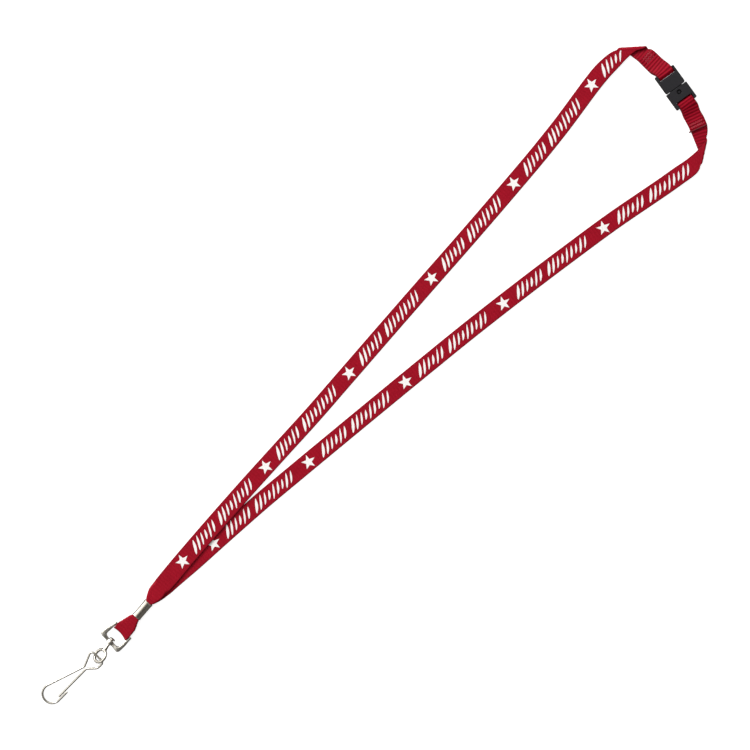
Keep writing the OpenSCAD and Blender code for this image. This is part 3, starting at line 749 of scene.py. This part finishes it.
def plastic_material():
    """Moulded black plastic with a fine matt grain."""
    g = new_material("moulded_plastic")
    where = object_place(g)
    grain = g.noise(where, 6500, 3, 0.6)
    cloud = g.noise(where, 260, 3)
    return g.dress(g.mix(cloud, (0.008, 0.008, 0.011, 1), (0.017, 0.016, 0.021, 1)),
                   g.scaled(grain, 0.18, 0.40), g.bump(grain, 0.02 * MM, 0.45),
                   Specular_IOR_Level=0.36)


def melted_material():
    """Polyester melted shut: darker and glassier than the webbing."""
    g = new_material("melted_polyester")
    lump = g.noise(object_place(g), 1600, 3)
    return g.dress(g.mix(lump, (0.06, 0.002, 0.006, 1), (0.17, 0.004, 0.012, 1)),
                   g.scaled(lump, 0.3, 0.25), g.bump(lump, 0.08 * MM, 0.6))


WEBBING = webbing_material()
INK = ink_material()
THREAD = thread_material()
CRIMP_METAL = nickel_material("crimp_nickel", (0.68, 0.64, 0.57, 1), (0.58, 0.54, 0.47, 1), 0.16, 0.010)
CAST_METAL = nickel_material("cast_nickel", (0.66, 0.64, 0.59, 1), (0.52, 0.50, 0.45, 1), 0.27, 0.014)
EYELET_METAL = nickel_material("forged_nickel", (0.66, 0.63, 0.57, 1), (0.52, 0.50, 0.45, 1), 0.20, 0.010)
WIRE_METAL = nickel_material("wire_nickel", (0.72, 0.70, 0.65, 1), (0.58, 0.56, 0.50, 1), 0.15, 0.008)
PLASTIC = plastic_material()
MELTED = melted_material()


def paint(piece, material):
    piece.data.materials.clear()
    piece.data.materials.append(material)


def settle(piece, material, slot, body, *nodes):
    """A rigid piece's material, the body it rides on, and the CAD nodes that it replaces."""
    paint(piece, material)
    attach(piece, body)
    if nodes:
        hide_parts(*nodes)


# ---------------------------- the webbing pieces

left_piece = ribbon("strap_left", LEFT)
settle(left_piece, WEBBING, "webbing", "strap", *LEFT_NODES)
LEFT.path()

right_piece = ribbon("strap_right", RIGHT)
paint(right_piece, WEBBING)
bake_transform(right_piece)
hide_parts(*RIGHT_NODES)
RIGHT.path()

# ---------------------------- print

INK_LIFT, INK_SINKS = 0.035, -0.02  # the ink's two faces, above the webbing and in it
PRINT_PITCH = 69.0  # from one emblem to the next
LEFT_PRINT = (29.2, 6)  # place of a leg's first emblem, and how many it has
RIGHT_PRINT = (47.8, 5)
LEFT_UNTIL, RIGHT_UNTIL = 396.0, 383.5  # where the print runs into the corner folds
STAR_R, STAR_DENT = 4.1, 1.7
STROKE_LEAN = math.tan(math.radians(34))
STROKE_STEP = 3.1
STROKE_FIRST = 10.2
STROKE_BOW = 0.35
WORD_STROKES = (6, 9)
WORD_STARTS = (0, WORD_STROKES[0])
WORD_GAP = 2.6


class Film:
    """Patches of ink, each a grid of places on the flat strap, laid on one face of a strap."""

    def __init__(self, strap, side):
        self.strap, self.side = strap, side
        self.points, self.flat, self.faces = [], [], []

    def ring_at(self, u, v):
        run = self.strap.run + self.strap.skew * v / STRAP_W
        return np.interp(u, run, np.arange(len(run)))

    def lay(self, u, v, lift):
        rings = np.array([self.ring_at(a, b) for a, b in zip(u, v)])
        low = np.clip(np.floor(rings).astype(int), 0, len(self.strap.run) - 2)
        part = (rings - low)[:, None]
        return (self.strap.surface(low, v, self.side, lift) * (1 - part)
                + self.strap.surface(low + 1, v, self.side, lift) * part)

    def patch(self, u, v, closed=False):
        """u and v are grids; closed joins the last row to the first."""
        base = sum(len(p) for p in self.points)
        for lift in (INK_LIFT, INK_SINKS):
            self.points.append(self.lay(u.ravel(), v.ravel(), lift))
            self.flat.append(np.stack([u.ravel(), v.ravel(), np.zeros(u.size)], axis=1))
        grid = base + np.arange(u.size).reshape(u.shape)
        self.faces += [face[::-self.side] for face in slab_faces(grid, grid + u.size, closed)]

    def make(self, name):
        piece = new_object(name, metres(np.concatenate(self.points)), self.faces)
        set_flat_place(piece, np.concatenate(self.flat) * MM)
        return piece


def brush_stroke(film, u0, tall, wide):
    """A leaning brush stroke: pointed below, full above its middle, and pointed again on top."""
    t = np.linspace(0, 1, 26)[:, None]
    across = np.linspace(-1, 1, 5)[None, :]
    v = (t - 0.5) * tall + 0 * across
    swell = 0.06 + 0.94 * np.sin(math.pi * t**0.8)**0.75
    bow = STROKE_BOW * np.sin(math.pi * t) * (1.2 - t)
    film.patch(u0 + v * STROKE_LEAN + bow + across * wide / 2 * swell, v)


def star(film, u0):
    """A plain five-pointed star as rings of places round its middle."""
    turn = all_round(100)
    tenth = math.pi / 5
    angle = np.abs((turn + tenth) % (2 * tenth) - tenth)
    edge = STAR_DENT * np.array([math.cos(tenth), math.sin(tenth)]) - [STAR_R, 0]
    reach = STAR_R * edge[1] / (np.cos(angle) * edge[1] - np.sin(angle) * edge[0])
    steps = np.linspace(0.02, 1, 13)
    film.patch(u0 + np.outer(reach * np.cos(turn), steps), np.outer(reach * np.sin(turn), steps), closed=True)


def flat_length_at(strap, x, after=0.0):
    """Length along the strap where its middle is at x."""
    ahead = strap.run >= after
    return float(np.interp(x, strap.middle[ahead, 0], strap.run[ahead]))


def word_stroke(film, i, at):
    """Stroke i of a group of two words, the first of each word taller and wider."""
    first = i in WORD_STARTS
    tall = 0.45 + 0.12 * ((i * 2) % 3) + (0.22 if first else 0)
    brush_stroke(film, at, STRAP_W * tall, 1.9 if first else 1.25 + 0.25 * (i % 2))


def print_leg(strap, name, first_x, emblems, until_x, start):
    """Emblems and groups of strokes along a leg, from a length along the strap on."""
    marks, script = Film(strap, 1), Film(strap, 1)
    first, until = (flat_length_at(strap, x, start) for x in (first_x, until_x))
    for k in range(emblems):
        u = first + k * PRINT_PITCH
        star(marks, u)
        for i in range(sum(WORD_STROKES)):
            at = u + STROKE_FIRST + i * STROKE_STEP + (WORD_GAP if i >= WORD_STROKES[0] else 0)
            if at < until:
                word_stroke(script, i, at)
    return marks.make("print_emblems_" + name), script.make("print_script_" + name)


def build_print():
    crimp_at = flat_length_at(LEFT, 0.2, 40)
    marks, script = print_leg(LEFT, "left_ink", *LEFT_PRINT, LEFT_UNTIL, crimp_at)
    settle(marks, INK, "print", "strap", "print_emblems_left")
    settle(script, INK, "print", "strap", "print_script_left")
    marks, script = print_leg(RIGHT, "right_ink", *RIGHT_PRINT, RIGHT_UNTIL, 0.0)
    for piece, replaced in ((marks, ["print_emblems_right"]),
                            (script, ["print_script_right", "print_script_corner"])):
        paint(piece, INK)
        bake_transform(piece)
        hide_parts(*replaced)


build_print()

# ---------------------------- stitching and the cut end

def swept(points, radii, sides):
    """Points and faces of a closed tube through points, its rings kept square to its run."""
    points = np.asarray(points, float)
    radii = np.broadcast_to(np.asarray(radii, float), (len(points),))
    way = unit(np.gradient(points, axis=0))
    first = np.array([0, 0, 1.0]) if abs(way[0][2]) < 0.9 else np.array([0, 1.0, 0])
    side = unit(np.cross(first, way[0]))
    turn = all_round(sides)
    rings = []
    for p, w, r in zip(points, way, radii):
        side = unit(side - w * (side @ w))
        rings.append(p + r * (np.outer(np.cos(turn), side) + np.outer(np.sin(turn), np.cross(w, side))))
    return skin(np.array(rings))


def skin(rings, closed=False):
    """Faces over rings of points, capped at both ends unless the last ring joins the first."""
    grid = np.arange(rings.shape[0] * rings.shape[1]).reshape(rings.shape[:2])
    caps = [] if closed else [grid[0, ::-1].tolist(), grid[-1].tolist()]
    if closed:
        grid = np.vstack([grid, grid[:1]])
    turned = np.roll(grid, -1, axis=1)
    quads = np.stack([grid[:-1], turned[:-1], turned[1:], grid[1:]], axis=-1).reshape(-1, 4)
    return rings.reshape(-1, 3), quads.tolist() + caps


def joined(shells):
    """One list of points and faces from several."""
    points, faces, base = [], [], 0
    for shell_points, shell_faces in shells:
        points.append(shell_points)
        faces.extend([[i + base for i in face] for face in shell_faces])
        base += len(shell_points)
    return np.concatenate(points), faces


def nearest_run(strap, x, y, after, before):
    """Length along the strap where its middle passes nearest to x, y, between two lengths."""
    off = np.hypot(strap.middle[:, 0] - x, strap.middle[:, 1] - y)
    off = np.where((strap.run > after) & (strap.run < before), off, 1e9)
    return float(strap.run[np.argmin(off)])


THREAD_R = 0.14
STITCH_STEP = 0.62  # across the strap, from one stitch to the next


def stitch(film, a, b):
    """One thread from a to b on the flat strap, coming up out of the webbing and going back in."""
    k = np.linspace(0, 1, 9)
    u, v = a[0] + (b[0] - a[0]) * k, a[1] + (b[1] - a[1]) * k
    rise = np.sin(math.pi * k)**0.5
    points = [film.lay(u[i:i + 1], v[i:i + 1], -0.12 + 0.17 * rise[i])[0] for i in range(len(k))]
    return swept(points, THREAD_R * (0.6 + 0.4 * rise), 8)


def tack(film, middle_u, half_wide, rows, row_step):
    """Zigzag rows of thread across the strap."""
    shells = []
    count = int(2 * half_wide / STITCH_STEP)
    for row in range(rows):
        u = middle_u + (row - (rows - 1) / 2) * row_step
        for i in range(count):
            v = -half_wide + i * STITCH_STEP + 0.12 * math.sin(7.3 * i + 2.1 * row)
            lean = 0.42 * row_step * (1 + 0.15 * math.sin(3.7 * i + row))
            back = -1 if i % 2 else 1
            shells.append(stitch(film, (u - back * lean, v), (u + back * lean, v + STITCH_STEP)))
    return joined(shells)


def build_stitching():
    at = nearest_run(LEFT, 405.6, 13.9, LEFT.length - 60, LEFT.length - 28)
    points, faces = tack(Film(LEFT, -1), at, 3.0, 3, 1.5)
    settle(new_object("stitching_at_plug", metres(points), faces), THREAD, "thread", "strap",
           "stitching_left")
    points, faces = tack(Film(RIGHT, 1), RIGHT.length - 2.7, 3.9, 2, 1.7)
    settle(new_object("stitching_at_socket", metres(points), faces), THREAD, "thread", "socket_side",
           "stitching_right")


DROP_RADII = [0.36, 0.42, 0.44, 0.40, 0.30, 0.10]


def build_cut_end():
    """The strap's end is melted shut: a thin bead along it, with a drop at one corner."""
    v = np.linspace(4.9, -4.9, 60)
    end = np.full(60, RIGHT.length - 0.1)
    middle = (Film(RIGHT, 1).lay(end, v, 0.0) + Film(RIGHT, -1).lay(end, v, 0.0)) / 2
    points = middle + RIGHT.up[-1] * 0.10
    radii = 0.34 + 0.02 * np.sin(v * 4.1) + 0.02 * np.sin(v * 9.7 + 1)
    radii[0] = 0.2
    drop = points[-1] + unit(points[-1] - points[-2]) * np.linspace(0.15, 1.0, len(DROP_RADII))[:, None]
    points, faces = swept(np.concatenate([points, drop]), np.concatenate([radii, DROP_RADII]), 12)
    settle(new_object("melted_strap_end", metres(points), faces), MELTED, "webbing", "socket_side")


build_stitching()
build_cut_end()

# ---------------------------- metal and plastic parts

class Place:
    """A part's own axes: where they lie, in millimetres from the crimp, and how they are turned."""

    def __init__(self, origin, turn):
        self.origin, self.turn = np.array(origin, float), turn

    def out(self, points):
        return metres(np.asarray(points, float) @ self.turn.T + self.origin)

    def back(self, points):
        return (np.asarray(points) / MM - TO_MIDDLE - self.origin) @ self.turn


def lathe(profile, sides=56, closed=False):
    """A profile of (place along X, radius) turned about X. closed joins its end to its start."""
    turn = all_round(sides)
    rings = [np.stack([np.full(sides, x), r * np.cos(turn), r * np.sin(turn)], axis=1) for x, r in profile]
    return skin(np.array(rings), closed)


def vertex_places(mesh):
    places = np.empty(len(mesh.vertices) * 3)
    mesh.vertices.foreach_get("co", places)
    return places.reshape(-1, 3)


def melted(name, shells, voxel, rounds, place):
    """Shells melted together into one casting or moulding, with eased edges and filled corners."""
    points, faces = joined(shells)
    blank = new_object(name + "_blank", points, faces)
    melt = blank.modifiers.new("melt", "REMESH")
    melt.mode = "VOXEL"
    melt.voxel_size = voxel
    ease = blank.modifiers.new("ease", "SMOOTH")
    ease.factor = 0.5
    ease.iterations = rounds
    ready = blank.evaluated_get(bpy.context.evaluated_depsgraph_get())
    mesh = bpy.data.meshes.new_from_object(ready)
    bpy.data.objects.remove(blank)
    mesh.vertices.foreach_set("co", place.out(vertex_places(mesh)).astype(np.float32).ravel())
    shade_smooth(mesh)
    mesh.update()
    return add_object(name, mesh)


def rounded_oval(half_y, half_z, power, sides):
    """An oval that is squarer the higher its power."""
    c, s = np.cos(all_round(sides)), np.sin(all_round(sides))
    return half_y * np.sign(c) * np.abs(c)**(2 / power), half_z * np.sign(s) * np.abs(s)**(2 / power)


CRIMP_L, CRIMP_W, CRIMP_H, CRIMP_WALL = 10.6, 5.05, 4.2, 0.4
CRIMP_SIDES = 96
LIP_R = CRIMP_WALL / 2


def crimp_profile():
    """Places round the ferrule's wall as (along it, in from its outer face), with rounded lips."""
    end = CRIMP_L / 2 - LIP_R
    run = np.linspace(-end, end, 44)
    lip = [(end + LIP_R * math.cos(a), LIP_R + LIP_R * math.sin(a))
           for a in np.radians(np.linspace(-90, 90, 7)[1:-1])]
    outer, inner = [(x, 0.0) for x in run], [(x, CRIMP_WALL) for x in run[::-1]]
    return outer + lip + inner + [(-x, inward) for x, inward in lip[::-1]]


def build_crimp():
    """A rolled metal ferrule: pressed a little flat in its middle, with its seam underneath."""
    half = CRIMP_L / 2
    rings = []
    for x, inward in crimp_profile():
        k = x / half
        bead = 0.13 * np.exp(-((half - 0.3 - abs(x)) / 0.3)**2)
        flare = 0.05 * k**6 + 0.05 * k + bead
        y, z = rounded_oval(CRIMP_W / 2 - inward + flare, CRIMP_H / 2 - inward, 2.5, CRIMP_SIDES)
        pressed = 1 - 0.055 * (1 - k * k)
        from_seam = all_round(CRIMP_SIDES) - 1.5 * math.pi
        seam = 0.10 * np.exp(-(from_seam / 0.05)**2) if inward < LIP_R else 0
        rolled = bead * np.maximum(z, 0) / (CRIMP_H / 2)
        rings.append(np.stack([np.full(CRIMP_SIDES, x), y, z * pressed + seam + rolled], axis=1))
    points, faces = skin(np.array(rings), closed=True)
    place = Place((*CRIMP_AT, CRIMP_H / 2), about("z", CRIMP_YAW))
    settle(new_object("crimp_ferrule", place.out(points), faces), CRIMP_METAL, "crimp_metal", "strap",
           "crimp_sleeve")


# The bracket's outline as (outer x, y, inner x, y, half height), from each end of its bar
LEFT_ARM = [(1.0, 6.3, 1.0, 5.0, 0.95), (-1.0, 6.4, -1.0, 4.98, 0.98), (-3.8, 7.0, -3.8, 4.95, 1.1),
            (-6.4, 7.5, -6.2, 4.93, 1.25), (-8.2, 7.55, -7.2, 4.7, 1.4), (-9.4, 6.9, -7.7, 4.1, 1.45),
            (-9.8, 5.6, -7.9, 3.4, 1.4), (-9.75, 3.6, -8.0, 2.6, 1.2), (-9.7, 1.5, -8.0, 1.5, 1.1)]
RIGHT_ARM = [(1.0, -6.3, 1.0, -5.0, 0.95), (-1.0, -6.5, -1.0, -4.98, 0.98), (-3.8, -7.0, -3.5, -5.0, 1.1),
             (-6.5, -7.15, -5.7, -5.1, 1.25), (-8.6, -7.1, -6.9, -5.0, 1.4), (-9.7, -6.6, -7.5, -4.5, 1.45),
             (-9.9, -5.4, -7.8, -3.8, 1.4), (-9.8, -3.4, -7.95, -2.7, 1.2), (-9.7, -1.5, -8.0, -1.5, 1.1)]
BRACKET = Place(BAR_POS, about("z", BRACKET_YAW) @ about("y", 4.6))
EYELET = Place((-30.3, 0.5, 2.59), about("z", 7.8) @ about("y", 4.6))


def arm_shell(outline):
    """One side of the bracket: flat-topped rounded sections from the bar round to the boss."""
    knots = np.arange(len(outline), dtype=float)
    rings = []
    for row in hermite(knots, np.array(outline), np.linspace(0, len(outline) - 1, 70)):
        outer, inner = row[:2], row[2:4]
        a, z = rounded_oval(np.linalg.norm(outer - inner) / 2, row[4], 4.0, 28)
        rings.append(np.column_stack([(outer + inner) / 2 + np.outer(a, unit(outer - inner)), z]))
    return skin(np.array(rings))


def build_bracket():
    bar = swept([(0, -6, 0), (0, 6, 0)], 0.8, 32)
    boss = lathe([(-9.95, 1.25), (-9.95, 1.9), (-9.8, 2.05), (-8.05, 2.05), (-7.9, 1.9), (-7.9, 1.25)],
                 closed=True)
    piece = melted("swivel_bracket_casting", [bar, boss, arm_shell(LEFT_ARM), arm_shell(RIGHT_ARM)], 0.09, 7,
                   BRACKET)
    settle(piece, CAST_METAL, "cast_metal", "bracket", "swivel_bracket")


RING_R, RING_D, RING_X, RING_TILT = 3.7, 1.6, -9.1, -42
# The eyelet's neck, shank and head, as (place along it, radius)
SHANK = [(-5.9, 0.0), (-5.9, 1.35), (-5.2, 1.3), (-4.0, 1.02), (-2.6, 0.84), (-1.8, 0.8), (1.7, 0.8),
         (1.7, 1.66), (1.95, 1.7), (2.2, 1.6), (2.45, 1.3), (2.6, 0.8), (2.66, 0.0)]


def build_eyelet():
    rings = []
    for angle in all_round(96):
        reach = RING_R + RING_D / 2 * np.cos(all_round(24))
        flat = np.stack([reach * math.cos(angle), reach * math.sin(angle),
                         RING_D / 2 * np.sin(all_round(24))], axis=1)
        rings.append(flat @ about("x", RING_TILT).T + [RING_X, 0, 0])
    shells = [lathe(SHANK), skin(np.array(rings), closed=True)]
    settle(melted("swivel_eyelet_forging", shells, 0.08, 7, EYELET), EYELET_METAL, "cast_metal", "eyelet",
           "swivel_eyelet")


WIRE_D = 1.2
CUT_RADII = WIRE_D / 2 * np.array([0.80, 0.97])  # the wire's last two radii at a cut end
HOOK_X = -40.6  # the hook's own axes start at its eye
HOOK = Place((HOOK_X, 0, 3.3), about("y", -4.05))
HOOK_TIP, HOOK_END, HOOK_TOP = (-66.6, -1.6), (-78.5, -1.6), (-78.5, 10.9)
THROAT_ARM, EYE_LEFT, EYE_RIGHT, EYE_BACK = (-49.7, 1.25), (HOOK_X, 4.9), (HOOK_X, -4.7), (-45.4, -4.45)
THROAT_GATE, GATE_TIP = (-50, -0.25), (-71.7, -0.2)


def bent_path(corners, step=0.35):
    """Places along a wire bent through corners of (point, bend radius)."""
    points = [np.array(corners[0][0], float)]
    for (a, _), (b, r), (c, _) in zip(corners, corners[1:], corners[2:]):
        a, b, c = (np.array(p, float) for p in (a, b, c))
        u, v = unit(b - a), unit(c - b)
        turn = math.atan2(u[0] * v[1] - u[1] * v[0], u @ v)
        way = 1 if turn > 0 else -1
        centre = b - u * r * math.tan(abs(turn) / 2) + way * r * np.array([-u[1], u[0]])
        start = math.atan2(u[1], u[0])
        for now in start + turn * np.linspace(0, 1, max(int(abs(turn) * r / 0.3), 6)):
            points.append(centre + way * r * np.array([math.sin(now), -math.cos(now)]))
    points.append(np.array(corners[-1][0], float))
    line = np.array(points)
    run = length_along(line)
    at = np.linspace(0, run[-1], int(run[-1] / step))
    return np.column_stack([np.interp(at, run, line[:, 0]) - HOOK_X, np.interp(at, run, line[:, 1]),
                            np.zeros(len(at))])


def build_hook():
    """One wire from the hook's tip round its eye, and the springing arm that it ends in."""
    split = np.array(EYE_BACK) + 0.3 * (np.array(THROAT_GATE) - np.array(EYE_BACK))
    path = bent_path([(HOOK_TIP, 0), (HOOK_END, 5.2), (HOOK_TOP, 5.2), (THROAT_ARM, 2), (EYE_LEFT, 1.6),
                      (EYE_RIGHT, 1.8), (EYE_BACK, 1.5), (split, 0)])
    radii = np.full(len(path), WIRE_D / 2)
    radii[:2] = CUT_RADII
    points, faces = swept(path, radii, 24)
    settle(new_object("hook_spring_wire", HOOK.out(points), faces), WIRE_METAL, "spring_wire", "hook",
           "hook_wire")
    inside = split - 0.5 * unit(np.array(THROAT_GATE) - split)
    path = bent_path([(inside, 0), (THROAT_GATE, 2.2), (GATE_TIP, 0)])
    radii = np.full(len(path), WIRE_D / 2)
    radii[0] *= 0.9
    radii[-2:] = CUT_RADII[::-1]
    points, faces = swept(path, radii, 24)
    piece = new_object("hook_spring_arm", HOOK.out(points), faces)
    paint(piece, WIRE_METAL)
    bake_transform(piece)
    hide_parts("hook_gate")


def build_buckle():
    """Both halves keep the shape of their CAD solids, with the eased edges of a moulding."""
    place = Place(BUCKLE_POS, about("z", BUCKLE_YAW))
    for name, body in (("buckle_plug", "strap"), ("buckle_socket", "socket_side")):
        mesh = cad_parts[name].data
        shell = place.back(vertex_places(mesh)), [list(face.vertices) for face in mesh.polygons]
        settle(melted(name + "_moulding", [shell], 0.1, 3, place), PLASTIC, "buckle_plastic", body, name)


build_crimp()
build_bracket()
build_eyelet()
build_hook()
build_buckle()

# ---------------------------- last update of the view layer

bpy.context.view_layer.update()
